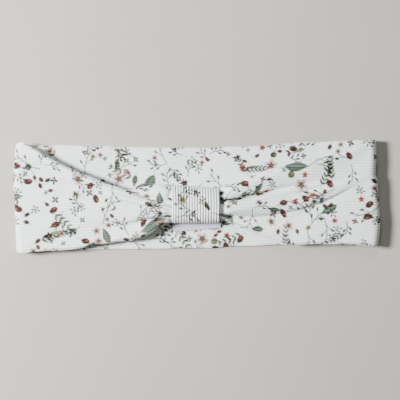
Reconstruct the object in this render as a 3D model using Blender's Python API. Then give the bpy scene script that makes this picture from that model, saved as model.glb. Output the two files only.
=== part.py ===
"""Knotted headband of rib-knit jersey, laid flat: a sewn tube of cloth closed into a ring, with a second,
narrow tube wrapped round its gathered front as the knot.

X runs along the band, Y across it and Z up from the surface it lies on. The origin is on that surface, under
the middle of the band. The ring opens about hinge lines parallel to Y: two in the back, one in each side fold
and one at each end of the knot. The front's right wing is one cloth, cut here where it bends nowhere, so that
the ring is a tree.
"""

import math

import bmesh
import bpy
from mathutils import Matrix, Vector

MM = 0.001

# Cloth. A tube is two plies with air between them, and the seam's thread lies in that air.
PLY = 0.9 * MM
TUBE_AIR = 1.0 * MM
LOOP_PLY = 0.7 * MM
CLEARANCE = 0.3 * MM
THREAD_RADIUS = 0.2 * MM

# The band as it lies.
FLAT_LENGTH = 240.0 * MM
FOLD_HEIGHT = 10.8 * MM
FOLD_WIDTH = 71.0 * MM
BACK_WAIST = 67.0 * MM
BACK_SAG = 2.0 * MM  # how far the back's middle lies below the line between the side folds' middles
WING_CUT_X = 62.0 * MM

# The knot and the gathers inside it.
KNOT_LENGTH = 31.0 * MM
KNOT_WIDTH = 23.4 * MM
KNOT_CENTRE_X = -0.8 * MM
KNOT_CENTRE_Y = -6.4 * MM
KNOT_MARGIN = 1.7 * MM  # from the knot's further end to the hinge lines
GATHER_THICKNESS = 7.6 * MM
SEAM_GAP = 1.3 * MM

# The satin label sewn inside the back.
LABEL_LENGTH = 30.0 * MM
LABEL_HEIGHT = 16.0 * MM
LABEL_CENTRE_X = -0.5 * MM
LABEL_CENTRE_Y = -14.3 * MM
LABEL_TURN = math.radians(4.0)
LABEL_THICKNESS = 0.3 * MM
LABEL_HEM = 4.0 * MM
LABEL_MARGIN = 1.0 * MM  # from the label's stitches to the hinge lines
STITCH_PITCH = 2.2 * MM
STITCH_WIDTH = 0.8 * MM

# What follows from those sizes.
TUBE = 2 * PLY + TUBE_AIR
LOOP = 2 * LOOP_PLY + TUBE_AIR
FOLD_CENTRE_X = FLAT_LENGTH / 2 - FOLD_HEIGHT / 2
FOLD_CENTRE_Z = FOLD_HEIGHT / 2
BACK_HINGE_Z = TUBE
KNOT_HINGE_Z = 2 * FOLD_CENTRE_Z - BACK_HINGE_Z  # puts both chains' ends in line with the knot at every angle
FOLD_RADIUS = (FOLD_HEIGHT - TUBE) / 2
KNOT_REACH = KNOT_LENGTH / 2 + abs(KNOT_CENTRE_X) + KNOT_MARGIN
LABEL_STITCHES = CLEARANCE + STITCH_WIDTH + 2 * THREAD_RADIUS
LABEL_REACH = LABEL_LENGTH / 2 + abs(LABEL_CENTRE_X) + LABEL_STITCHES + LABEL_MARGIN
HINGE_HALF_SPAN = max(KNOT_REACH, LABEL_REACH)
LOOP_BASE_Z = TUBE + 2 * LABEL_THICKNESS + 2 * CLEARANCE
GATHER_BASE_Z = LOOP_BASE_Z + LOOP + CLEARANCE
GATHER_CENTRE_Z = GATHER_BASE_Z + GATHER_THICKNESS / 2
GATHER_HALF_WIDTH = KNOT_WIDTH / 2 - LOOP - CLEARANCE
HINGE_SWEEP = max(KNOT_HINGE_Z - GATHER_BASE_Z, 0) + CLEARANCE  # how far a wing's lower corner swings inwards
FRONT_BASE_Z = FOLD_HEIGHT - TUBE

AIR_ENDS = 0.6  # how far into a wing the tube still has air, as a share of the wing
CORNER_STEPS = 6
FLAT_STEPS = 3
FOLD_STEPS = 8

# Outlines of the front wings from a side fold (0) to the knot (1): how far each edge still stands out past
# the gathers, as a share of how far it stands out at the fold.
LEFT_UPPER_EDGE = (
    (0.0, 1.0), (0.13, 0.79), (0.32, 0.48), (0.51, 0.21), (0.66, 0.05), (0.84, 0.02), (1.0, 0.0),
)
LEFT_LOWER_EDGE = (
    (0.0, 1.0), (0.43, 0.90), (0.60, 0.74), (0.77, 0.62), (0.88, 0.42), (0.95, 0.18), (1.0, 0.0),
)
RIGHT_UPPER_EDGE = (
    (0.0, 1.0), (0.25, 0.72), (0.42, 0.62), (0.62, 0.47), (0.78, 0.27), (0.92, 0.09), (1.0, 0.0),
)
RIGHT_LOWER_EDGE = (
    (0.0, 1.0), (0.30, 0.93), (0.57, 0.88), (0.70, 0.66), (0.84, 0.38), (0.94, 0.14), (1.0, 0.0),
)
# Heights of a wing's two faces, as shares of the way from the side fold's level to the gathers' level.
WING_BASE = ((0.0, 0.0), (0.5, 0.0), (0.75, 0.35), (1.0, 1.0))
WING_TOP = ((0.0, 0.0), (0.35, 0.10), (0.7, 0.50), (1.0, 1.0))

CLOTH = ("rib_knit", (0.90, 0.89, 0.87), 0.9)
SATIN = ("satin_ribbon", (0.78, 0.76, 0.82), 0.45)
THREAD = ("sewing_thread", (0.93, 0.92, 0.90), 0.7)


def clear_scene():
    for thing in list(bpy.data.objects):
        bpy.data.objects.remove(thing, do_unlink=True)


def material(name, colour, roughness):
    made = bpy.data.materials.get(name) or bpy.data.materials.new(name)
    made.use_nodes = True
    shader = made.node_tree.nodes["Principled BSDF"]
    shader.inputs["Base Color"].default_value = (*colour, 1.0)
    shader.inputs["Roughness"].default_value = roughness
    shader.inputs["Metallic"].default_value = 0.0
    return made


def add_object(name, bm, finish, smooth=True):
    bmesh.ops.recalc_face_normals(bm, faces=bm.faces)
    mesh = bpy.data.meshes.new(name)
    bm.to_mesh(mesh)
    bm.free()
    if smooth:
        mesh.shade_smooth()
        mesh.set_sharp_from_angle(angle=math.radians(40))
    made = bpy.data.objects.new(name, mesh)
    bpy.context.scene.collection.objects.link(made)
    mesh.materials.append(material(*finish))
    return made


def read_curve(points, at):
    """The value at a place on a list of (place, value), eased between its points."""
    for (a, low), (b, high) in zip(points, points[1:]):
        if at <= b:
            share = (at - a) / (b - a)
            share = share * share * (3 - 2 * share)
            return low + (high - low) * share
    return points[-1][1]


class Station:
    """A cross-section of a flattened tube: its centre, the ways its width and thickness run, and its size."""

    def __init__(self, centre, across, through, half_width, thickness, inner_half_width=None):
        self.centre = Vector(centre)
        self.across = Vector(across)
        self.through = Vector(through)
        self.half_width = half_width
        self.thickness = thickness
        self.inner_half_width = inner_half_width

    def place(self, sideways, outwards):
        return self.centre + self.across * sideways + self.through * outwards


def oblong(half_width, thickness):
    """Points round an oblong with round ends, as (sideways, outwards)."""
    radius = thickness / 2
    straight = half_width - radius
    points = []
    for side in (1, -1):
        for step in range(CORNER_STEPS + 1):
            angle = -math.pi / 2 + math.pi * step / CORNER_STEPS
            points.append((side * (straight + radius * math.cos(angle)), side * radius * math.sin(angle)))
        for step in range(1, FLAT_STEPS):
            points.append((side * straight * (1 - 2 * step / FLAT_STEPS), side * radius))
    return points


def add_ring(bm, station, points):
    return [bm.verts.new(station.place(*p)) for p in points]


def join_rings(bm, rings):
    """Faces from each ring of points to the next."""
    for first, second in zip(rings, rings[1:]):
        for k in range(len(first)):
            bm.faces.new((first[k - 1], first[k], second[k], second[k - 1]))


def add_tube(name, stations, finish, air=0.0):
    """A flattened tube through its stations. One with an inner half width has air between its plies."""
    bm = bmesh.new()
    outer = [add_ring(bm, s, oblong(s.half_width, s.thickness)) for s in stations]
    inner = [add_ring(bm, s, oblong(s.inner_half_width, air)) for s in stations if s.inner_half_width]
    if len(inner) == len(outer):
        join_rings(bm, outer + inner[::-1] + outer[:1])
    elif inner:
        join_rings(bm, outer[::-1] + inner)
        bm.faces.new(inner[-1])
        bm.faces.new(outer[-1])
    else:
        join_rings(bm, outer)
        bm.faces.new(outer[0])
        bm.faces.new(outer[-1])
    return add_object(name, bm, finish)


def add_thread(name, points):
    """A thread that runs straight from point to point."""
    curve = bpy.data.curves.new(name, "CURVE")
    curve.dimensions = "3D"
    curve.bevel_depth = THREAD_RADIUS
    curve.bevel_resolution = 1
    curve.use_fill_caps = True
    spline = curve.splines.new("POLY")
    spline.points.add(len(points) - 1)
    for knot, place in zip(spline.points, points):
        knot.co = (*place, 1.0)
    curve.materials.append(material(*THREAD))
    bpy.context.scene.collection.objects.link(bpy.data.objects.new(name, curve))


def add_seam(name, stations):
    """The tube's long seam: its thread lies in the air inside the tube's lower edge."""
    hollow = [s for s in stations if s.inner_half_width]
    add_thread(name, [s.place(TUBE_AIR / 2 - s.inner_half_width, 0) for s in hollow])


def level_station(x, z, half_width, thickness, y=0.0, inner=None):
    return Station((x, y, z), (0, 1, 0), (0, 0, 1), half_width, thickness, inner)


def back_station(x):
    """The back is drawn in at the middle, mostly from above, and full width at the side folds."""
    share = (x / FOLD_CENTRE_X) ** 2
    half_width = (BACK_WAIST + (FOLD_WIDTH - BACK_WAIST) * share) / 2
    return level_station(x, TUBE / 2, half_width, TUBE, BACK_SAG * (share - 1), half_width - PLY)


def back_stations(start_x, end_x, steps):
    return [back_station(start_x + (end_x - start_x) * k / steps) for k in range(steps + 1)]


def fold_stations(side):
    """The turn at one end of the band, from the back's level up to the front's. Side is -1 at the left."""
    margin = CLEARANCE / FOLD_RADIUS
    stations = []
    for step in range(FOLD_STEPS + 1):
        angle = margin + (math.pi - 2 * margin) * step / FOLD_STEPS
        outward = Vector((side * math.sin(angle), 0, -math.cos(angle)))
        centre = Vector((side * FOLD_CENTRE_X, 0, FOLD_CENTRE_Z)) + outward * FOLD_RADIUS
        stations.append(
            Station(centre, (0, 1, 0), outward, FOLD_WIDTH / 2, TUBE, FOLD_WIDTH / 2 - PLY)
        )
    return stations


def wing_station(side, share, upper_edge, lower_edge, hollow_until):
    """A wing's cross-section, at a share of the way from its side fold to the knot's hinge line."""
    x = side * (FOLD_CENTRE_X + (HINGE_HALF_SPAN + CLEARANCE / 2 - FOLD_CENTRE_X) * share)
    gather_top = KNOT_CENTRE_Y + GATHER_HALF_WIDTH
    gather_foot = KNOT_CENTRE_Y - GATHER_HALF_WIDTH
    top_y = gather_top + (FOLD_WIDTH / 2 - gather_top) * read_curve(upper_edge, share)
    foot_y = gather_foot - (FOLD_WIDTH / 2 + gather_foot) * read_curve(lower_edge, share)
    base_z = FRONT_BASE_Z + (GATHER_BASE_Z - FRONT_BASE_Z) * read_curve(WING_BASE, share)
    gather_crest = GATHER_BASE_Z + GATHER_THICKNESS
    crest_z = FOLD_HEIGHT + (gather_crest - FOLD_HEIGHT) * read_curve(WING_TOP, share)
    half_width = (top_y - foot_y) / 2
    inner = half_width - PLY if share <= hollow_until else None
    return level_station(
        x, (base_z + crest_z) / 2, half_width, crest_z - base_z, (top_y + foot_y) / 2, inner
    )


def wing_stations(side, start, end, steps, hollow_until):
    edges = (LEFT_UPPER_EDGE, LEFT_LOWER_EDGE) if side < 0 else (RIGHT_UPPER_EDGE, RIGHT_LOWER_EDGE)
    shares = [start + (end - start) * k / steps for k in range(steps + 1)]
    return [wing_station(side, s, *edges, hollow_until) for s in shares]


def zigzag(length, height, pitch):
    """Points of a stitched line, as (along, aside), centred on its middle."""
    count = int(length / pitch) + 1
    return [((k - (count - 1) / 2) * pitch, height / 2 * (-1) ** k) for k in range(count)]


def rotation_z(angle):
    return Matrix.Rotation(angle, 3, "Z")


def gather_station(x):
    return level_station(x, GATHER_CENTRE_Z, GATHER_HALF_WIDTH, GATHER_THICKNESS, KNOT_CENTRE_Y)


def build_gathers():
    """The tube's two gathered ends, sewn to each other inside the loop."""
    seam_x = KNOT_CENTRE_X
    left_end = -HINGE_HALF_SPAN + HINGE_SWEEP
    right_end = HINGE_HALF_SPAN - HINGE_SWEEP
    add_tube("gathered_end_left", [gather_station(x) for x in (left_end, seam_x - SEAM_GAP / 2)], CLOTH)
    add_tube("gathered_end_right", [gather_station(x) for x in (seam_x + SEAM_GAP / 2, right_end)], CLOTH)
    rows = int((GATHER_THICKNESS - 2 * STITCH_PITCH) / STITCH_PITCH) + 1
    width = 2 * GATHER_HALF_WIDTH - GATHER_THICKNESS
    points = []
    for row in range(rows):
        z = GATHER_CENTRE_Z + (row - (rows - 1) / 2) * STITCH_PITCH
        ends = (-width / 2, width / 2) if row % 2 else (width / 2, -width / 2)
        points += [(seam_x, KNOT_CENTRE_Y + y, z) for y in ends]
    add_thread("ring_seam_thread", points)


def loop_path():
    """Centres and outward ways of the loop's middle line round the gathers, from its seam back to it."""
    half_width = KNOT_WIDTH / 2 - LOOP / 2
    half_height = GATHER_THICKNESS / 2 + CLEARANCE + LOOP / 2
    straight = half_width - half_height
    points = [(-SEAM_GAP / 2, -half_height, 0.0, -1.0), (-straight, -half_height, 0.0, -1.0)]
    for step in range(1, CORNER_STEPS):
        angle = -math.pi / 2 - math.pi * step / CORNER_STEPS
        y, z = math.cos(angle), math.sin(angle)
        points.append((half_height * y - straight, half_height * z, y, z))
    points.append((-straight, half_height, 0.0, 1.0))
    mirrored = [(-y, z, -ny, nz) for y, z, ny, nz in reversed(points)]
    return points + mirrored


def build_loop():
    """The knot: a second tube of the same cloth round the gathers, its ends whipped together underneath."""
    stations = [
        Station(
            (KNOT_CENTRE_X, KNOT_CENTRE_Y + y, GATHER_CENTRE_Z + z),
            (1, 0, 0),
            (0, ny, nz),
            KNOT_LENGTH / 2,
            LOOP,
            KNOT_LENGTH / 2 - LOOP_PLY,
        )
        for y, z, ny, nz in loop_path()
    ]
    add_tube("knot_loop", stations, CLOTH, air=TUBE_AIR)
    add_seam("knot_loop_seam", stations)
    middle = Vector((KNOT_CENTRE_X, KNOT_CENTRE_Y, LOOP_BASE_Z + LOOP / 2))
    stitches = zigzag(KNOT_LENGTH - 2 * LOOP, LOOP / 2, STITCH_PITCH / 2)
    add_thread("loop_closing_thread", [middle + Vector((x, 0, z)) for x, z in stitches])


def build_label():
    """A satin label, its two short ends turned under and whipped down to the back's inner face."""
    middle = Vector((LABEL_CENTRE_X, LABEL_CENTRE_Y, TUBE + CLEARANCE + LABEL_THICKNESS))
    turn = rotation_z(LABEL_TURN)
    half = LABEL_LENGTH / 2
    hem = half - LABEL_HEM
    profile = [
        (-half, -LABEL_THICKNESS), (-hem, -LABEL_THICKNESS), (-hem, 0), (hem, 0),
        (hem, -LABEL_THICKNESS), (half, -LABEL_THICKNESS), (half, LABEL_THICKNESS), (-half, LABEL_THICKNESS),
    ]
    bm = bmesh.new()
    verts = [bm.verts.new((x, -LABEL_HEIGHT / 2, z)) for x, z in profile]
    made = bmesh.ops.extrude_face_region(bm, geom=[bm.faces.new(verts)])
    moved = [v for v in made["geom"] if isinstance(v, bmesh.types.BMVert)]
    bmesh.ops.translate(bm, verts=moved, vec=(0, LABEL_HEIGHT, 0))
    bmesh.ops.rotate(bm, verts=bm.verts, matrix=turn)
    bmesh.ops.translate(bm, verts=bm.verts, vec=middle)
    add_object("label", bm, SATIN, smooth=False)
    aside = half + CLEARANCE + THREAD_RADIUS + STITCH_WIDTH / 2
    for side, name in ((-1, "label_thread_left"), (1, "label_thread_right")):
        stitches = zigzag(LABEL_HEIGHT - STITCH_PITCH, STITCH_WIDTH, STITCH_PITCH / 2)
        add_thread(name, [middle + turn @ Vector((side * (aside + x), y, 0)) for y, x in stitches])


def add_segment(name, seam_name, stations):
    add_tube(name, stations, CLOTH, air=TUBE_AIR)
    if seam_name:
        add_seam(seam_name, stations)


def build_band():
    """The band's tube, in the segments that its hinge lines part."""
    gap = CLEARANCE / 2
    inner_end = HINGE_HALF_SPAN + gap
    middle = HINGE_HALF_SPAN - gap
    add_segment("back_center_panel", "back_center_seam", back_stations(-middle, middle, 2))
    add_segment("back_left_panel", "back_left_seam", back_stations(-inner_end, -FOLD_CENTRE_X, 4))
    add_segment("back_right_panel", "back_right_seam", back_stations(inner_end, FOLD_CENTRE_X, 4))
    add_segment("left_side_fold", "left_fold_seam", fold_stations(-1))
    add_segment("right_side_fold", "right_fold_seam", fold_stations(1))
    reach = FOLD_CENTRE_X - inner_end
    cut = (FOLD_CENTRE_X - WING_CUT_X) / reach
    half_gap = gap / reach
    left = wing_stations(-1, 0.0, 1.0, 10, AIR_ENDS)
    outer = wing_stations(1, 0.0, cut - half_gap, 6, 1.0)
    inner = wing_stations(1, cut + half_gap, 1.0, 5, 0.0)
    add_segment("front_left_wing", "front_left_seam", left)
    add_segment("front_right_wing_outer", "front_right_seam", outer)
    add_segment("front_right_wing_inner", None, inner)


def add_pivot(name, x, z, nodes, parent=None):
    """An empty on a hinge line, which what turns there hangs from."""
    pivot = bpy.data.objects.new(name, None)
    bpy.context.scene.collection.objects.link(pivot)
    origin = Vector((x, 0, z))
    pivot.parent = parent
    pivot.location = origin - (hinge_place(parent) if parent else Vector())
    for node in nodes:
        hung = bpy.data.objects[node]
        hung.parent = pivot
        hung.location = -origin
    return pivot


def hinge_place(pivot):
    """Where a pivot stands in the world, as pivots only move and never turn here."""
    return pivot.location + (hinge_place(pivot.parent) if pivot.parent else Vector())


def hang_on_hinges():
    span, fold = HINGE_HALF_SPAN, FOLD_CENTRE_X
    back_left = add_pivot(
        "back_left_hinge", -span, BACK_HINGE_Z,
        ("back_left_panel", "back_left_seam", "left_side_fold", "left_fold_seam"),
    )
    back_right = add_pivot(
        "back_right_hinge", span, BACK_HINGE_Z,
        ("back_right_panel", "back_right_seam", "right_side_fold", "right_fold_seam"),
    )
    front_left = add_pivot(
        "left_fold_hinge", -fold, FOLD_CENTRE_Z, ("front_left_wing", "front_left_seam"), back_left
    )
    add_pivot(
        "right_fold_hinge", fold, FOLD_CENTRE_Z, ("front_right_wing_outer", "front_right_seam"), back_right
    )
    knot = add_pivot(
        "knot_left_hinge", -span, KNOT_HINGE_Z,
        (
            "gathered_end_left", "gathered_end_right", "ring_seam_thread",
            "knot_loop", "knot_loop_seam", "loop_closing_thread",
        ),
        front_left,
    )
    add_pivot("knot_right_hinge", span, KNOT_HINGE_Z, ("front_right_wing_inner",), knot)


def main():
    clear_scene()
    build_band()
    build_gathers()
    build_loop()
    build_label()
    hang_on_hinges()


main()
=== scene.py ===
import bmesh
import bpy
import math
import numpy as np
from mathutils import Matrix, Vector


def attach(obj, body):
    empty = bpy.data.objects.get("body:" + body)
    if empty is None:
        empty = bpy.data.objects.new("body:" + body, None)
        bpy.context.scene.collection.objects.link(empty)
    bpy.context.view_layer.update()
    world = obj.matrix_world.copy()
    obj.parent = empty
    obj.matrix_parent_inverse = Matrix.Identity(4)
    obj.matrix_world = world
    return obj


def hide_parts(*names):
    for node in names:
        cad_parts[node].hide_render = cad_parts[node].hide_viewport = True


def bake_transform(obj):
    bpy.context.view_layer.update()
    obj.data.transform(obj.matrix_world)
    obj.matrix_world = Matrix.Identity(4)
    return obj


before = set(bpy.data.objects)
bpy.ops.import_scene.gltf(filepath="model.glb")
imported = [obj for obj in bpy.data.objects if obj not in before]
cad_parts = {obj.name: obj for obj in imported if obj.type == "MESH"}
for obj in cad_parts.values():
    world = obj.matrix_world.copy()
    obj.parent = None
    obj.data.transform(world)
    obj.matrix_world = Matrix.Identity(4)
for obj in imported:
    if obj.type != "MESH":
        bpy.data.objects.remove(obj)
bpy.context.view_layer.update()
mm = 0.001

# Shapes below are worked out in millimetres, in the frame of the CAD model, and turned to metres in the mesh.
# The cloth is one tube. Round it, v runs over the outer ply from the lower edge to the upper one, -girth/4 to
# girth/4, and back over the inner ply. The ring goes from the knot over the left side fold, the back and the
# right side fold to the knot again.
cloth = {
    "girth": 142.0,
    "ribs": 78,  # round the tube, 1.8 mm apart
    "pointsPerRib": 6,
    "ribHeight": 0.36,
    "thickness": 2.8,
    "step": 0.6,  # along the ribs
    "waves": 0.2,
    "depth": 0.75,  # how much the folds are deepened
    "depthZ": 11.3,  # the height they are deepened about
    "underside": 6.9,  # the inner ply's height at the knot, and how far it rises towards the sides
    "undersideRise": 1.1,
    "pleats": 0.4,  # the fine gathers beside the knot
    "pleatCount": 14,
    "splitX": 64.0,  # where a side fold's piece meets its neighbours
    "cutX": 62.0,  # where the ring is cut in the right wing
}
folds = {"x": 114.6, "z": 5.4, "radius": 4.0}
knotX = -0.8
seamHalf = 0.65
pitch = cloth["girth"] / cloth["ribs"]
quarter = cloth["girth"] / 4
backZ = cloth["thickness"] / 2
wingZ = backZ + 2 * folds["radius"]
pointsRound = cloth["ribs"] * cloth["pointsPerRib"]
vAt = np.arange(pointsRound) / pointsRound * cloth["girth"] - quarter


def smoothStep(t):
    t = np.clip(t, 0, 1)
    return t * t * (3 - 2 * t)


# A smooth curve through points that never swings past them. It can carry several values at once.
def throughPoints(places, values, at):
    places = np.asarray(places, float)
    values = np.asarray(values, float)
    column = (-1,) + (1,) * (values.ndim - 1)
    step = np.diff(places).reshape(column)
    rise = np.diff(values, axis=0) / step
    before = rise[:-1]
    after = rise[1:]
    heavy = 2 * step[1:] + step[:-1]
    light = step[1:] + 2 * step[:-1]
    sameWay = before * after > 1e-12
    safeBefore = np.where(sameWay, before, 1.0)
    safeAfter = np.where(sameWay, after, 1.0)
    middle = np.where(sameWay, (heavy + light) / (heavy / safeBefore + light / safeAfter), 0.0)
    slope = np.concatenate([rise[:1], middle, rise[-1:]])
    index = np.clip(np.searchsorted(places, at, side="right") - 1, 0, len(places) - 2)
    gap = step[index]
    t = np.clip((np.asarray(at, float) - places[index]).reshape(column) / gap, 0, 1)
    return (
        values[index] * (2 * t**3 - 3 * t**2 + 1)
        + values[index + 1] * (3 * t**2 - 2 * t**3)
        + slope[index] * gap * (t**3 - 2 * t**2 + t)
        + slope[index + 1] * gap * (t**3 - t**2)
    )


# The two plies lying flat: y across the band, and n from the middle of the tube, outwards on the outer ply
def flatTube(v, centre, halfWidth):
    edgeRadius = cloth["thickness"] / 2
    outer = v <= quarter
    across = np.where(outer, v, 2 * quarter - v) / quarter
    straight = halfWidth - edgeRadius
    run = np.abs(across) * (straight + edgeRadius * math.pi / 2)
    turn = np.clip((run - straight) / edgeRadius, 0, math.pi / 2)
    y = centre + np.sign(across) * (np.minimum(run, straight) + edgeRadius * np.sin(turn))
    n = edgeRadius * np.cos(turn) * np.where(outer, 1, -1)
    return y, n


# Key points of the outer ply of each wing, (y, z, v), from the lower edge to the upper one, at each x
leftWing = {
    -109: [(-35.8, 9.3, -35.5), (-35.4, 10.2, -34.6), (-34, 10.8, -33.2), (-26, 10.8, -25.5),
           (-18, 10.8, -18), (-3, 10.8, -3), (11, 10.8, 11), (24, 10.8, 24), (30.8, 11.4, 31),
           (32.6, 10.3, 33), (32, 9.3, 33.8), (31.4, 8.9, 34.4), (30.8, 8.8, 34.9), (30.2, 8.6, 35.5)],
    -101: [(-35.4, 9.3, -35.5), (-35, 10.2, -34.6), (-33.8, 10.8, -33.2), (-26, 10.7, -25.5),
           (-18, 10.8, -18), (-3, 10.9, -3), (10, 10.9, 10), (22, 10.8, 22), (26.6, 11.9, 27.2),
           (28.4, 10.6, 29.6), (27.2, 9.3, 31.4), (25.8, 8.9, 32.8), (24.6, 8.7, 34), (23.2, 8.5, 35.5)],
    -84: [(-34.6, 9.3, -35.5), (-34.3, 10.2, -34.6), (-33, 10.9, -33.2), (-25, 10.6, -25),
          (-18.5, 10.9, -18.5), (-5, 11.1, -5), (5, 11.1, 5), (12.8, 10.8, 13), (17.4, 12.2, 18.2),
          (19.4, 10.7, 20.8), (17.5, 9.3, 23.6), (13.5, 9, 27.6), (9.8, 8.8, 31.4), (5.8, 8.6, 35.5)],
    -66: [(-31, 8.9, -35.5), (-32, 9.9, -34.2), (-30.6, 11.2, -32.2), (-20.1, 10.5, -21),
          (-16, 11.2, -16.8), (-6, 11.5, -6.5), (0, 11.5, -0.5), (5, 11.1, 5), (9.2, 12.4, 10),
          (11.5, 10.8, 13), (9, 9.3, 17), (3.5, 9, 23), (-2, 8.8, 29), (-8, 8.6, 35.5)],
    -54: [(-27, 8.8, -35.5), (-30.2, 10, -32.6), (-28.4, 11.6, -30), (-19.8, 10.3, -20.8),
          (-16, 11.6, -16.2), (-8, 12, -8), (-3.2, 12, -3), (0.6, 11.3, 1.2), (4, 12.7, 5.4),
          (6.5, 11, 9.2), (4.5, 9.4, 14), (0.5, 9, 21), (-4, 8.8, 28), (-10, 8.6, 35.5)],
    -44: [(-23, 8.6, -35.5), (-29.3, 10.1, -31), (-27, 12, -28), (-18.8, 10, -20.2),
          (-15.6, 12, -15.6), (-10, 12.5, -9.6), (-5.2, 12.4, -4.8), (-2.6, 11.2, -1.4), (0.6, 12.9, 2.6),
          (3, 11, 6.4), (2.6, 9.6, 10), (1.5, 9.4, 16), (4.2, 9.3, 23), (-2, 8.6, 35.5)],
    -33: [(-19, 8.5, -35.5), (-25.7, 10.2, -30.4), (-23.4, 12.5, -27), (-16.3, 9.9, -20.2),
          (-13.8, 12.5, -15.2), (-10.6, 13, -11), (-7.6, 12.8, -7.4), (-5.4, 10.9, -3.8), (-3.2, 13.2, 0.6),
          (-1.2, 11, 4.4), (1, 11.2, 8), (3.6, 12, 13), (5.9, 10.6, 18), (1, 8.6, 35.5)],
    -24: [(-16, 8, -35.5), (-19.6, 10.2, -30.6), (-17.6, 12.9, -26), (-14.7, 9.5, -20.6),
          (-12.8, 13.2, -15), (-10.9, 13.6, -12), (-9.2, 13.4, -9.5), (-7.5, 10.4, -5.4), (-6, 13.7, -0.6),
          (-4.3, 11, 3.6), (-1, 12.8, 8.4), (3.8, 13.4, 14), (7.3, 11.2, 19.4), (3, 8.4, 35.5)],
    -17.5: [(-14, 7.6, -35.5), (-17.3, 10.3, -30.6), (-15.7, 12.8, -26), (-14, 9.2, -20.6),
            (-12.4, 13.4, -15), (-11, 13.8, -12.4), (-9.6, 13.6, -10), (-8.3, 9.8, -5.6), (-6.9, 13.9, -0.8),
            (-5.3, 10.8, 3.4), (-2, 13.4, 8.4), (2.8, 13.6, 14), (6.6, 11.2, 19.6), (3.4, 8.2, 35.5)],
}
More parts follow.
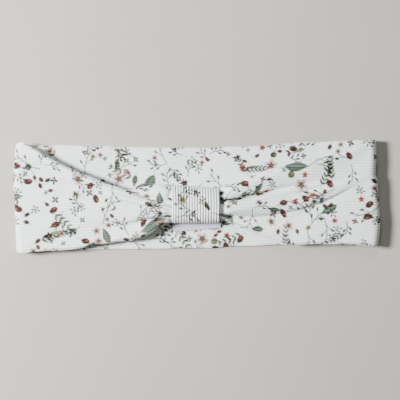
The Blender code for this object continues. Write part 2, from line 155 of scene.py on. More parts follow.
rightWing = {
    17.5: [(-12, 7.8, -35.5), (-16.9, 9.4, -31.6), (-16.1, 10.9, -29.6), (-15.4, 9.8, -27.5),
           (-14.2, 8.2, -23.5), (-12.2, 13.2, -17.6), (-9.6, 14.1, -13.6), (-7.4, 14, -11),
           (-6.4, 13.8, -9.8), (-5.3, 13, -8), (-4.3, 9.2, -3.5), (-2.8, 13.2, 1.4), (1.4, 14.2, 7),
           (5.5, 11.6, 12.6), (4.2, 9.2, 20), (1, 8.4, 35.5)],
    24: [(-14, 8, -35.5), (-20.3, 9.4, -32.4), (-19.2, 11.1, -30.6), (-17.8, 9.3, -28.4),
         (-15.8, 8.8, -25.2), (-12.3, 12.5, -19.4), (-9.8, 13.9, -14.4), (-7, 13.8, -11.4),
         (-5.9, 13.5, -10), (-4.8, 12.6, -8), (-3.6, 9.6, -4), (-1.8, 13, 1.4), (3, 14, 7.6),
         (7.1, 11.4, 13.2), (5.6, 9.2, 20), (1.5, 8.5, 35.5)],
    36: [(-17, 8.2, -35.5), (-25.1, 9.5, -33.4), (-23.8, 11.2, -31.6), (-20.4, 9.5, -27.8),
         (-17.2, 9, -24.2), (-12.8, 12, -19), (-9, 13.2, -14), (-5.4, 13.1, -10),
         (-4.2, 12.9, -8.6), (-3, 12.2, -6.8), (-1.8, 9.9, -3.6), (0.4, 12.6, 1.6), (6.5, 13.5, 8.6),
         (11.2, 11.2, 14.6), (9.6, 9.2, 21), (2, 8.6, 35.5)],
    48: [(-23, 8.5, -35.5), (-29.6, 9.6, -33.6), (-28.2, 11.2, -31.8), (-20.8, 10, -25.4),
         (-16, 9.2, -21.2), (-11.8, 11.8, -17), (-7.5, 12.7, -11.8), (-3, 12.6, -6.8),
         (-1.6, 12.4, -5.2), (0, 11.8, -3.4), (1.4, 10.2, -1.2), (3.6, 12, 2.6), (11.2, 12.9, 11),
         (15.9, 11, 16.6), (14, 9.2, 22), (4, 8.6, 35.5)],
    62: [(-33.7, 9.3, -35.5), (-33.5, 10.1, -34.7), (-32.2, 10.9, -33.2), (-21, 10.4, -22),
         (-13, 9.4, -14.6), (-10.2, 11.9, -11.6), (-6, 12.4, -7), (-2.8, 12.1, -3.4),
         (-1.2, 11.3, -1.4), (1.4, 11.6, 1.2), (4, 10.5, 3.8), (7, 11.6, 7), (15.8, 12.4, 15.6),
         (19.4, 10.9, 19.6), (17, 9.2, 24), (6, 8.6, 35.5)],
    76: [(-33.4, 9.3, -35.5), (-33.2, 10.1, -34.7), (-31.8, 10.8, -33.2), (-20, 10.7, -20.5),
         (-8.8, 9.9, -9.6), (-6.6, 11.7, -7.2), (-2.4, 12.2, -2.6), (0.6, 11.9, 0.6),
         (2.3, 10.8, 2.4), (4.4, 11.2, 4.6), (6.6, 10.9, 6.8), (10, 11.3, 10), (18.8, 12.2, 18.8),
         (22.4, 10.8, 23), (20.4, 9.2, 27), (11, 8.6, 35.5)],
    90: [(-33.3, 9.3, -35.5), (-33.1, 10.1, -34.7), (-31.8, 10.8, -33.2), (-20, 10.7, -20),
         (-3.2, 10.1, -3.4), (-1, 11.5, -1.2), (2.6, 12, 2.6), (5.4, 11.6, 5.6), (7.2, 10.7, 7.4),
         (9.6, 10.9, 9.8), (12, 10.9, 12), (15, 11.1, 15), (21.6, 12, 22), (24.8, 10.7, 26),
         (23.4, 9.2, 28.4), (17, 8.6, 35.5)],
    103: [(-33.8, 9.3, -35.5), (-33.6, 10.1, -34.7), (-32.2, 10.8, -33.2), (-20, 10.7, -20),
          (3.4, 10.5, 3.4), (5, 11, 5.1), (6.8, 11.4, 7), (8.2, 11.2, 8.4), (9.4, 10.6, 9.6),
          (12, 10.8, 12.2), (15, 10.8, 15.3), (19, 11, 19.4), (26.4, 11.8, 27.2), (29.2, 10.6, 30.2),
          (28.4, 9.3, 31.8), (25.5, 8.7, 35.5)],
    110: [(-34.6, 9.3, -35.5), (-34.4, 10.1, -34.7), (-33, 10.8, -33.2), (-20.4, 10.8, -20),
          (5.5, 10.7, 5.8), (7, 10.9, 7.3), (8.6, 11, 8.9), (9.6, 10.9, 9.9), (10.6, 10.7, 11),
          (13, 10.8, 13.4), (16, 10.8, 16.5), (20.5, 10.9, 21), (29, 11.3, 29.8), (31.4, 10.4, 32.4),
          (31, 9.3, 33.6), (29.5, 8.8, 35.5)],
}
# Inside the knot's loop the gathers are packed closer, here as (y, z) at the v of the station beside it
leftBundle = [(-13.6, 7.6), (-15.2, 10.2), (-13.9, 12.7), (-12.8, 9.2), (-11.5, 13.5), (-10.6, 13.9),
              (-9.5, 13.7), (-8.4, 9.8), (-7.2, 13.9), (-5.8, 10.8), (-3.6, 13.6), (-0.6, 13.6),
              (2.2, 11), (0.2, 8.2)]
rightBundle = [(-12, 7.8), (-15, 9.4), (-14.2, 11.2), (-13.6, 10.4), (-13, 8.8), (-11.6, 13),
               (-9.4, 13.8), (-7.6, 13.7), (-6.8, 13.5), (-6, 12.8), (-5.2, 9.2), (-4, 13), (-0.6, 13.8),
               (2.2, 11.4), (1.4, 9.2), (-0.6, 8.4)]


wingFlat = {-1: (0.0, 36.1), 1: (-0.7, 34.9)}  # middle and half width of each wing where it turns over


# The inner ply goes from the upper edge up behind the roll and back under the wing to the lower edge
def withInnerPly(outer, topIndex, underside):
    topY = outer[topIndex][0]
    edgeY, edgeZ, edgeV = outer[-1]
    lowY, lowZ, _ = outer[0]
    inner = [
        ((edgeY + topY) / 2, edgeZ + 0.7),
        (topY - 1.0, edgeZ + 1.2),
        (topY - 2.2, edgeZ + 1.5),
        (edgeY - 0.5, edgeZ + 1.2),
        (edgeY + 0.35 * (lowY - edgeY), underside + 0.1),
        (edgeY + 0.7 * (lowY - edgeY), underside),
    ]
    path = [(edgeY, edgeZ)] + inner + [(lowY, lowZ)]
    steps = [max(1.0, math.dist(a, b)) for a, b in zip(path, path[1:])]
    run = np.cumsum(steps) / sum(steps) * 2 * quarter
    return list(outer) + [(y, z, edgeV + r) for (y, z), r in zip(inner, run)]


def wingColumns(stations, bundle, topIndex, xs):
    side = -1 if xs[0] < 0 else 1
    keys = {}
    for x, outer in stations.items():
        underside = cloth["underside"] + cloth["undersideRise"] * float(smoothStep((abs(x) - 17) / 40))
        keys[x] = withInnerPly(outer, topIndex, underside)
    mouth = keys[side * 17.5]
    tight = [(y, z, v) for (y, z), (_, _, v) in zip(bundle, stations[side * 17.5])]
    tight = withInnerPly(tight, topIndex, 7.0)
    tight = [(y, z, v) for (y, z, _), (_, _, v) in zip(tight, mouth)]
    keys[side * 13.5] = tight
    keys[0] = tight
    flat = []
    for _, _, v in keys[side * max(abs(x) for x in stations)]:
        y, n = flatTube(np.array(v), *wingFlat[side])
        flat.append((float(y), wingZ + float(n), v))
    keys[side * folds["x"]] = flat
    stationX = sorted(keys)
    lines = throughPoints(stationX, [keys[x] for x in stationX], xs)
    result = np.empty((len(xs), pointsRound, 3))
    for row, x, line in zip(result, xs, lines):
        v = line[:, 2]
        closedV = np.concatenate([v[-3:] - cloth["girth"], v, v[:3] + cloth["girth"]])
        closed = np.concatenate([line[-3:, :2], line[:, :2], line[:3, :2]])
        section = throughPoints(closedV, closed, vAt)
        row[:, 0] = x
        row[:, 1:] = section
    # ridges stand higher and creases sink deeper than the key points say, except at the fold and in the knot
    z = result[:, :, 2]
    reach = np.abs(xs)[:, None]
    share = smoothStep((z - 9.2) / 0.8) * smoothStep((108 - reach) / 25) * smoothStep((reach - 16) / 6)
    result[:, :, 2] = z + cloth["depth"] * share * (z - cloth["depthZ"])
    y, n = flatTube(vAt, *wingFlat[side])
    share = smoothStep((np.abs(xs) - folds["x"] + 2.5) / 2.5)[:, None]
    result[:, :, 1] += share * (y - result[:, :, 1])
    result[:, :, 2] += share * (wingZ + n - result[:, :, 2])
    return result


backEdges = {  # the band's upper and lower edges at its back
    "top": [(-118, 36.1), (-113, 33.8), (-108, 32.8), (-103.5, 34.2), (-96, 34.2), (-60, 32.9), (0, 31.1),
            (40, 31.6), (76, 33.8), (118, 34.2)],
    "bottom": [(-118, -36.2), (-86, -35), (-40, -35.2), (5, -35.3), (26, -34.6), (58, -33.8), (118, -35.6)],
}
endPull = {  # how far the side folds are drawn in, at each y
    -1: [(-36, 1.0), (-26, 0.7), (-7, 0), (11, 0), (25, 0.6), (36, 1.7)],
    1: [(-36, 2.1), (-20, 0), (-12, 0.4), (8, 1.4), (11, 2.8), (22, 2.2), (34, 2.0)],
}


def edgeCurve(points, at):
    return throughPoints([p[0] for p in points], [p[1] for p in points], at)


def backColumns(xs):
    top = edgeCurve(backEdges["top"], xs)
    bottom = edgeCurve(backEdges["bottom"], xs)
    result = np.empty((len(xs), pointsRound, 3))
    for row, x, high, low in zip(result, xs, top, bottom):
        y, n = flatTube(vAt, (high + low) / 2, (high - low) / 2)
        row[:, 0] = x
        row[:, 1] = y
        row[:, 2] = backZ - n
    return result


def foldColumns(side, angles):
    backTop = float(edgeCurve(backEdges["top"], np.array([side * folds["x"]]))[0])
    backBottom = float(edgeCurve(backEdges["bottom"], np.array([side * folds["x"]]))[0])
    wing = wingFlat[side]
    result = np.empty((len(angles), pointsRound, 3))
    for row, angle in zip(result, angles):
        share = float(smoothStep(angle / math.pi))
        centre = wing[0] + share * ((backTop + backBottom) / 2 - wing[0])
        half = wing[1] + share * ((backTop - backBottom) / 2 - wing[1])
        y, n = flatTube(vAt, centre, half)
        out = folds["radius"] + n
        row[:, 0] = side * (folds["x"] + out * math.sin(angle))
        row[:, 1] = y
        row[:, 2] = folds["z"] + out * math.cos(angle)
    return result


def stepsBetween(start, end):
    return np.linspace(start, end, round(abs(end - start) / cloth["step"]) + 1)


def joined(*runs):
    return np.concatenate([runs[0]] + [run[1:] for run in runs[1:]])


print("cloth: working out the ring")
splitX = cloth["splitX"]
leftX = joined(stepsBetween(knotX - seamHalf, -splitX), stepsBetween(-splitX, -folds["x"]))
backX = joined(stepsBetween(-folds["x"], -splitX), stepsBetween(-splitX, 0),
               stepsBetween(0, splitX), stepsBetween(splitX, folds["x"]))
rightX = joined(stepsBetween(folds["x"], cloth["cutX"]), stepsBetween(cloth["cutX"], knotX + seamHalf))
turnAngles = np.linspace(0, math.pi, 27)
ring = joined(
    wingColumns(leftWing, leftBundle, 9, leftX),
    foldColumns(-1, turnAngles),
    backColumns(backX),
    foldColumns(1, turnAngles[::-1]),
    wingColumns(rightWing, rightBundle, 13, rightX),
)
leftEnd = len(leftX)
backStart = leftEnd + len(turnAngles) - 2
backEnd = backStart + len(backX)
rightStart = backEnd + len(turnAngles) - 2
for side in (-1, 1):
    near = smoothStep((side * ring[:, :, 0] - 95) / 20)
    pull = edgeCurve(endPull[side], ring[:, :, 1].ravel()).reshape(near.shape)
    ring[:, :, 0] -= side * near * pull

middle = ring.mean(axis=1)
foldStep = math.pi * folds["radius"] / (len(turnAngles) - 1)
stepLength = np.hypot(np.diff(middle[:, 0]), np.diff(middle[:, 2]))
stepLength = np.clip(stepLength, foldStep * 0.5, cloth["step"] * 1.1)
along = np.concatenate([[0], np.cumsum(stepLength)])  # how far along the tube each column is

alongRate = np.gradient(ring, along, axis=0)
spacing = cloth["girth"] / pointsRound
aroundRate = (np.roll(ring, -1, axis=1) - np.roll(ring, 1, axis=1)) / (2 * spacing)
outwards = np.cross(aroundRate, alongRate)
outwards /= np.maximum(np.linalg.norm(outwards, axis=2, keepdims=True), 1e-6)
stretch = np.linalg.norm(aroundRate, axis=2)
for _ in range(2):  # normals are evened a little, so that ribs in tight creases don't cross
    outwards = (np.roll(outwards, 1, axis=1) + outwards * 2 + np.roll(outwards, -1, axis=1)) / 4
    outwards /= np.maximum(np.linalg.norm(outwards, axis=2, keepdims=True), 1e-6)
ribCrest = np.abs(np.sin(math.pi * (vAt + quarter) / pitch))
lift = cloth["ribHeight"] * (ribCrest**0.8 - 0.6) * np.clip(stretch, 0.35, 1)
turnRound = 2 * math.pi * vAt / cloth["girth"]
# slow waves in the cloth: cycles round the tube, length along it, phase and share
slowWaves = [(3, 41, 0.4, 1), (5, 27, 2.1, 0.7), (8, 17, 4.4, 0.5), (2, 63, 1.2, 0.9)]
for cycles, length, phase, share in slowWaves:
    wave = np.sin(cycles * turnRound[None, :] + 2 * math.pi * along[:, None] / length + phase)
    lift = lift + cloth["waves"] * share * 0.6 * wave
onWing = (np.arange(len(along)) < leftEnd) | (np.arange(len(along)) > rightStart)
nearKnot = np.exp(-np.maximum(np.abs(middle[:, 0]) - 16, 0) / 12) * onWing
lift = lift + cloth["pleats"] * nearKnot[:, None] * np.sin(cloth["pleatCount"] * turnRound)[None, :]
ring = ring + outwards * lift[:, :, None]
ring[:, :, 2] = np.maximum(ring[:, :, 2], 0.02)


def linearColour(hexColour):
    parts = [int(hexColour[i:i + 2], 16) / 255 for i in (1, 3, 5)]
    return [c / 12.92 if c <= 0.04045 else ((c + 0.055) / 1.055) ** 2.4 for c in parts]


inks = {
    "green": "#2f4027", "pine": "#142018", "sage": "#354a3d", "olive": "#363b1c", "straw": "#5f6338",
    "rust": "#4d160a", "brick": "#7f2c14", "burgundy": "#2a0b08", "brown": "#180a07", "pink": "#b57f72",
    "blush": "#cf9f92", "orange": "#963b15", "mist": "#6c878c", "vein": "#94a588",
}
inks = {name: np.array(linearColour(colour)) for name, colour in inks.items()}
ink = np.ones(ring.shape)
inkDepth = 0.86 + 0.14 * ribCrest**0.7  # a groove shows more of the white yarn


# The cloth round one column and v, where a motif is drawn in millimetres
class Patch:
    def __init__(self, column, v, angle, reach):
        inner = v > quarter
        low, high = np.searchsorted(along, [along[column] - reach, along[column] + reach])
        rows = np.arange(round((v - reach + quarter) / spacing), round((v + reach + quarter) / spacing))
        self.columns = np.arange(low, high)
        self.rows = rows % pointsRound
        right = (along[self.columns] - along[column])[:, None] * (1 if inner else -1)
        up = (rows * spacing - quarter - v)[None, :] * (-1 if inner else 1)
        turn = math.radians(angle)
        self.a = right * math.cos(turn) + up * math.sin(turn)
        self.b = up * math.cos(turn) - right * math.sin(turn)
        self.index = np.ix_(self.columns, self.rows)

    def stain(self, cover, colour):
        share = (cover * inkDepth[self.rows])[:, :, None]
        ink[self.index] = ink[self.index] * (1 - share) + inks[colour] * share

    def blade(self, x, y, angle, length, width, colour, fullness=0.8):
        turn = math.radians(angle)
        a = (self.a - x) * math.cos(turn) + (self.b - y) * math.sin(turn)
        b = (self.b - y) * math.cos(turn) - (self.a - x) * math.sin(turn)
        t = np.clip(a / length, 0, 1)
        half = width / 2 * np.sin(math.pi * t**fullness)
        gap = np.where((a > 0) & (a < length), np.abs(b) - half, 1.0)
        self.stain(np.clip(0.5 - gap / 0.36, 0, 1) * (half > 0.05), colour)
        return a, b, t, half

    def oval(self, x, y, angle, length, width, colour, strength=1.0):
        turn = math.radians(angle)
        a = (self.a - x) * math.cos(turn) + (self.b - y) * math.sin(turn)
        b = (self.b - y) * math.cos(turn) - (self.a - x) * math.sin(turn)
        gap = (np.hypot(2 * a / length, 2 * b / width) - 1) * min(length, width) / 2
        self.stain(np.clip(0.5 - gap / 0.36, 0, 1) * strength, colour)

    def petals(self, count, size, width, colour, start=0.0, strength=1.0):
        for k in range(count):
            turn = math.radians(360 / count * k + start)
            mid = size * 0.58
            reach = size * (0.9 + 0.12 * (k % 2))
            self.oval(mid * math.cos(turn), mid * math.sin(turn), math.degrees(turn), reach, width * size,
                      colour, strength)

    def dot(self, x, y, radius, colour):
        gap = np.hypot(self.a - x, self.b - y) - radius
        self.stain(np.clip(0.5 - gap / 0.4, 0, 1), colour)

    def stroke(self, points, width, colour, strength=0.9):
        cover = np.zeros(self.a.shape)
        for (x0, y0), (x1, y1) in zip(points, points[1:]):
            t = ((self.a - x0) * (x1 - x0) + (self.b - y0) * (y1 - y0)) / ((x1 - x0) ** 2 + (y1 - y0) ** 2)
            t = np.clip(t, 0, 1)
            gap = np.hypot(self.a - x0 - t * (x1 - x0), self.b - y0 - t * (y1 - y0)) - width / 2
            cover = np.maximum(cover, np.clip(0.5 - gap / 0.4, 0, 1))
        self.stain(cover * strength, colour)


def curvedStem(size, bend):
    return [(size * t, bend * size * math.sin(math.pi * t)) for t in np.linspace(0, 1, 7)]


def leaf(patch, size, colour):
    a, b, t, half = patch.blade(0, 0, 0, size, 0.42 * size, colour, 0.75)
    inside = (np.abs(b) < half) & (a > 0) & (a < size)
    darker = "pine" if colour != "pine" else "brown"
    patch.stain(np.where(inside & (b < -0.1), 0.3, 0.0), darker)
    veins = 0.5 + 0.5 * np.cos(2 * math.pi * (a - np.abs(b)) / 1.7)
    patch.stain(np.where(inside, 0.22 * veins**4, 0.0), "vein")
    patch.stain(np.where(inside & (np.abs(b) < 0.22), 0.35, 0.0), "vein")
    patch.stroke([(-0.22 * size, -0.06 * size), (0.1 * size, 0)], 0.3, colour)


def sprig(patch, size, colour, pairs=5, slant=42, bend=0.05):
    patch.stroke(curvedStem(size, bend), 0.45, colour)
    for k in range(pairs):
        t = 0.2 + 0.75 * k / (pairs - 1)
        x, y = size * t, bend * size * math.sin(math.pi * t)
        length = min(5.0, size * 0.31) * (1 - 0.3 * t)
        for way in (-1, 1):
            tone = ("straw", colour, "pine", colour)[(k + way) % 4]
            patch.blade(x, y, way * slant, length, length * 0.36, tone)
    patch.blade(size * 0.98, 0, 0, min(3.0, size * 0.2), 0.9, colour)


def wheat(patch, size, colour):
    sprig(patch, size, colour, pairs=9, slant=36, bend=0.06)


def twig(patch, size, colour):
    bend = 0.08
    patch.stroke(curvedStem(size, bend), 0.62, colour, 0.95)
    for k, way in enumerate((1, -1, 1, -1)):
        t = 0.3 + 0.18 * k
        x, y = size * t, bend * size * math.sin(math.pi * t)
        reach = 0.24 * size
        tip = (x + reach * 0.75, y + way * reach * 0.62)
        patch.stroke([(x, y), tip], 0.56, colour)
        patch.blade(tip[0] - 0.7, tip[1], way * 30, 3.2, 1.5, "pine" if k % 2 else colour)


def blossom(patch, size, colour):
    patch.petals(5, size, 0.74, colour, 12, 0.72)
    for k in range(5):
        turn = 72 * k + 12
        mark = 0.3 * size
        x, y = mark * math.cos(math.radians(turn)), mark * math.sin(math.radians(turn))
        patch.oval(x, y, turn, 0.6 * size, 0.24 * size + 0.3, "burgundy", 0.95)
    patch.dot(0, 0, 0.14 * size, "straw")


def cross(patch, size, colour):
    patch.petals(4, size, 0.66, colour, 8)
    patch.dot(0, 0, 0.24, "straw")


def star(patch, size, colour):
    patch.petals(5, size, 0.7, colour)
    patch.dot(0, 0, 0.26 * size, "burgundy")


def bud(patch, size, colour):
    patch.oval(0, 0, 0, 2 * size, 1.35 * size, "burgundy")
    patch.oval(0.1 * size, 0.12 * size, 0, 1.6 * size, 0.9 * size, colour, 0.9)
    patch.oval(0.3 * size, 0.2 * size, 0, 0.8 * size, 0.3 * size, "blush", 0.25)
    patch.stroke([(-2 * size, 0.1 * size), (-0.9 * size, 0)], 0.34, "olive")


def berries(patch, size, colour):
    for k in range(6):
        turn = math.radians(60 * k + 20)
        reach = size * (0.95 if k % 2 else 0.6)
        x, y = reach * math.cos(turn), reach * math.sin(turn) * 0.85
        patch.stroke([(0, 0), (x, y)], 0.5, "olive")
        patch.blade(x * 0.8, y * 0.8, math.degrees(turn) + 25, 1.9, 1.3, colour)
    patch.dot(0, 0, 0.5, colour)


def berry(patch, size, colour):
    patch.stroke([(0, 0), (-0.6 * size, 2.4 * size)], 0.45, "pine")
    patch.oval(0, 0, 30, 2 * size, 1.8 * size, "pine")
    patch.oval(0.1 * size, 0.1 * size, 30, 1.6 * size, 1.4 * size, colour, 0.85)
    patch.oval(0.3 * size, 0.25 * size, 60, 0.7 * size, 0.5 * size, "vein", 0.4)


motifs = {"leaf": leaf, "sprig": sprig, "wheat": wheat, "twig": twig, "blossom": blossom,
          "cross": cross, "star": star, "bud": bud, "berries": berries, "berry": berry}
longMotifs = ("leaf", "sprig", "wheat", "twig")
# The print is a loose scatter of leaves and small flowers, the largest first: kind, size, ink, how many
scatter = [
    ("wheat", 27, "green", 10), ("leaf", 16, "sage", 14), ("sprig", 18, "olive", 30),
    ("leaf", 12, "sage", 18), ("twig", 18, "olive", 36), ("twig", 16, "pine", 34),
    ("sprig", 14, "pine", 30), ("blossom", 4.2, "pink", 26), ("leaf", 8.5, "pine", 36),
    ("bud", 3, "rust", 80), ("blossom", 3, "blush", 40), ("berry", 2.4, "straw", 8),
    ("berry", 2.3, "green", 6), ("berries", 3, "pine", 44), ("cross", 2.5, "burgundy", 50),
    ("star", 2.2, "brick", 30), ("bud", 2, "burgundy", 60), ("twig", 11, "olive", 90),
    ("cross", 2, "brown", 80), ("star", 2, "orange", 20), ("blossom", 2.2, "pink", 50),
    ("berries", 2.3, "olive", 70), ("bud", 1.8, "rust", 60), ("star", 1.7, "mist", 22),
    ("twig", 9, "pine", 110), ("cross", 1.7, "pine", 90),
]
triesEach = 26  # places tried for each motif
longShare = 0.32  # the share of a long motif's size that is kept clear round its middle
smallShare = 0.75
draw = np.random.default_rng(7)
print("cloth: printing")
spots = np.zeros((0, 3))  # along, v and reach of each motif
for kind, size, colour, count in scatter:
    isLong = kind in longMotifs
    half = size / 2 if isLong else 0
    reach = longShare * size if isLong else smallShare * size + 0.3
    patchReach = size * (1.35 if isLong else 2.4) + 2
    left = count
    for _ in range(count * triesEach):
        column = int(draw.integers(0, len(along)))
        v = float(draw.uniform(-quarter, 3 * quarter))
        angle = float(draw.uniform(0, 360))
        side = -1 if v > quarter else 1
        middleAlong = along[column] + side * half * math.cos(math.radians(angle))
        middleV = v + side * half * math.sin(math.radians(angle))
        apartV = np.abs((spots[:, 1] - middleV + 2 * quarter) % (4 * quarter) - 2 * quarter)
        if (np.hypot(spots[:, 0] - middleAlong, apartV) > spots[:, 2] + reach).all():
            motifs[kind](Patch(column, v, angle, patchReach), size, colour)
            spots = np.vstack([spots, (middleAlong, middleV, reach)])
            left -= 1
            if left == 0:
                break
print("cloth:", len(spots), "motifs")


def addNode(tree, kind, values=(), **settings):
    node = tree.nodes.new(kind)
    for key, value in settings.items():
        setattr(node, key, value)
    for socket, value in dict(values).items():
        if isinstance(value, bpy.types.NodeSocket):
            tree.links.new(value, node.inputs[socket])
        else:
            node.inputs[socket].default_value = value
    return node


def newMaterial(name):
    material = bpy.data.materials.new(name)
    material.use_nodes = True
    tree = material.node_tree
    shader = next(n for n in tree.nodes if n.type == "BSDF_PRINCIPLED")
    return material, tree, shader


# Cotton rib knit, brushed soft by washing: matt, a little fuzzy at the rim, stitches just visible, with
# painted shade in the grooves between its ribs
def ribKnit(name, ribPitch, groove):
    material, tree, shader = newMaterial(name)
    uv = addNode(tree, "ShaderNodeUVMap", uv_map="cloth")
    part = addNode(tree, "ShaderNodeSeparateXYZ", {0: uv.outputs[0]})
    printInk = addNode(tree, "ShaderNodeAttribute", attribute_name="ink")
    turn = addNode(tree, "ShaderNodeMath", {0: part.outputs[1], 1: math.pi / ribPitch}, operation="MULTIPLY")
    sine = addNode(tree, "ShaderNodeMath", {0: turn.outputs[0]}, operation="SINE")
    crest = addNode(tree, "ShaderNodeMath", {0: sine.outputs[0]}, operation="ABSOLUTE")
    # the grooves between ribs are painted darker, towards the groove colour: painted shade
    tone = addNode(tree, "ShaderNodeMapRange", {0: crest.outputs[0], 1: 0.0, 2: 0.75, 3: 0.0, 4: 1.0})
    paintedGrooveShade = addNode(tree, "ShaderNodeMix", {0: tone.outputs[0], 6: (*linearColour(groove), 1),
                                            7: (*linearColour("#f1f7f5"), 1)}, data_type="RGBA")
    inked = addNode(tree, "ShaderNodeMix", {0: 1.0, 6: paintedGrooveShade.outputs[2], 7: printInk.outputs[0]},
                    data_type="RGBA", blend_type="MULTIPLY")
    place = addNode(tree, "ShaderNodeTexCoord")
    patchy = addNode(tree, "ShaderNodeTexNoise", {0: place.outputs[3], 2: 90.0, 3: 3.0})
    paler = addNode(tree, "ShaderNodeMapRange", {0: patchy.outputs[0], 1: 0.3, 2: 0.7, 3: 0.965, 4: 1.0})
    colour = addNode(tree, "ShaderNodeMix", {0: 1.0, 6: inked.outputs[2], 7: paler.outputs[0]},
                     data_type="RGBA", blend_type="MULTIPLY")
    # one stitch is about 1 mm long, and each leans towards the middle of its rib
    lean = addNode(tree, "ShaderNodeMath", {0: crest.outputs[0], 1: 0.55}, operation="MULTIPLY")
    stitchAt = addNode(tree, "ShaderNodeMath", {0: part.outputs[0], 1: lean.outputs[0]}, operation="ADD")
    stitchTurn = addNode(tree, "ShaderNodeMath", {0: stitchAt.outputs[0], 1: math.pi}, operation="MULTIPLY")
    stitchSine = addNode(tree, "ShaderNodeMath", {0: stitchTurn.outputs[0]}, operation="SINE")
    stitch = addNode(tree, "ShaderNodeMath", {0: stitchSine.outputs[0]}, operation="ABSOLUTE")
    # the fuzz of the yarn comes in tufts of about 0.4 mm
    fuzz = addNode(tree, "ShaderNodeTexNoise", {0: place.outputs[3], 2: 2600.0, 3: 2.0})
    relief = addNode(tree, "ShaderNodeMath", {0: stitch.outputs[0], 1: fuzz.outputs[0]}, operation="ADD")
    bump = addNode(tree, "ShaderNodeBump",
                   {"Strength": 0.3, "Distance": 0.00012, "Height": relief.outputs[0]})
    tree.links.new(colour.outputs[2], shader.inputs["Base Color"])
    tree.links.new(bump.outputs[0], shader.inputs["Normal"])
    shader.inputs["Roughness"].default_value = 0.86
    shader.inputs["Sheen Weight"].default_value = 0.05
    shader.inputs["Sheen Roughness"].default_value = 0.4
    shader.inputs["Specular IOR Level"].default_value = 0.2
    return material


# Polyester satin ribbon: lavender white, smooth, with a soft sheen along its fine cross threads
def satinRibbon():
    material, tree, shader = newMaterial("satin ribbon")
    uv = addNode(tree, "ShaderNodeUVMap", uv_map="cloth")
    # cross threads about 0.22 mm apart, painted lighter and darker in bands: painted sheen on them and
    # painted shade between them
    weave = addNode(tree, "ShaderNodeTexWave", {0: uv.outputs[0], 1: 1.4, 2: 0.6}, bands_direction="Y")
    colour = addNode(tree, "ShaderNodeMix", {0: weave.outputs[0], 6: (*linearColour("#b6b3c6"), 1),
                                             7: (*linearColour("#c9c6d8"), 1)}, data_type="RGBA")
    bump = addNode(tree, "ShaderNodeBump",
                   {"Strength": 0.25, "Distance": 0.00005, "Height": weave.outputs[0]})
    tree.links.new(colour.outputs[2], shader.inputs["Base Color"])
    tree.links.new(bump.outputs[0], shader.inputs["Normal"])
    shader.inputs["Roughness"].default_value = 0.42
    shader.inputs["Sheen Weight"].default_value = 0.2
    return material


# Spun polyester sewing thread, white: a twist along it makes it look corded
def sewingThread():
    material, tree, shader = newMaterial("sewing thread")
    place = addNode(tree, "ShaderNodeTexCoord")
    # a turn of the twist in 1 to 1.5 mm, coarser than real, so that it shows
    twist = addNode(tree, "ShaderNodeTexWave", {0: place.outputs[3], 1: 420.0, 2: 1.5},
                    bands_direction="DIAGONAL")
    # the twist is painted in grey and white bands: painted shade in its grooves on a white thread
    colour = addNode(tree, "ShaderNodeMix", {0: twist.outputs[0], 6: (*linearColour("#c9c8cc"), 1),
                                             7: (*linearColour("#f1f0f0"), 1)}, data_type="RGBA")
    bump = addNode(tree, "ShaderNodeBump",
                   {"Strength": 0.4, "Distance": 0.00005, "Height": twist.outputs[0]})
    tree.links.new(colour.outputs[2], shader.inputs["Base Color"])
    tree.links.new(bump.outputs[0], shader.inputs["Normal"])
    shader.inputs["Roughness"].default_value = 0.6
    return material


# the last colour is the painted shade in the grooves between ribs
bandKnit = ribKnit("cotton rib knit, band", pitch, "#d9dfdf")
ribbon = satinRibbon()
thread = sewingThread()


# A grid of one vertex for each place, wrapped into a tube round its second axis, or left flat
def clothPiece(name, places, inkOf, run, around, tube, flip, material):
    countU, countV = places.shape[:2]
    segmentsV = countV if tube else countV - 1
    bm = bmesh.new()
    bm.loops.layers.uv.new("cloth")
    bmesh.ops.create_grid(bm, x_segments=countU - 1, y_segments=segmentsV, size=1, calc_uvs=True)
    mesh = bpy.data.meshes.new(name)
    bm.to_mesh(mesh)
    bm.free()
    flat = np.empty(len(mesh.vertices) * 3)
    mesh.vertices.foreach_get("co", flat)
    spot = (flat.reshape(-1, 3) + 1) / 2
    i = np.rint(spot[:, 0] * (countU - 1)).astype(int)
    j = np.rint(spot[:, 1] * segmentsV).astype(int) % countV
    mesh.vertices.foreach_set("co", (places[i, j] * mm).ravel())
    layer = mesh.attributes.new("ink", "FLOAT_COLOR", "POINT")
    colours = np.ones((len(i), 4))
    colours[:, :3] = inkOf[i, j]
    layer.data.foreach_set("color", colours.ravel())
    uvs = np.empty(len(mesh.loops) * 2)
    mesh.uv_layers["cloth"].data.foreach_get("uv", uvs)
    uvs = uvs.reshape(-1, 2)
    uvs[:, 0] = np.interp(uvs[:, 0], np.linspace(0, 1, countU), run)
    uvs[:, 1] *= around
    mesh.uv_layers["cloth"].data.foreach_set("uv", uvs.ravel())
    bm = bmesh.new()
    bm.from_mesh(mesh)
    if tube:
        bmesh.ops.remove_doubles(bm, verts=bm.verts, dist=1e-8)
    if flip:
        bmesh.ops.reverse_faces(bm, faces=bm.faces)
    for face in bm.faces:
        face.smooth = True
    bm.to_mesh(mesh)
    bm.free()
    mesh.materials.append(material)
    piece = bpy.data.objects.new(name, mesh)
    bpy.context.collection.objects.link(piece)
    return piece


def bandPiece(name, first, last):
    part = slice(first, last + 1)
    return clothPiece(name, ring[part], ink[part], along[part], cloth["girth"], True, True, bandKnit)


def columnAt(xs, x, start):
    return start + int(np.argmin(np.abs(xs - x)))


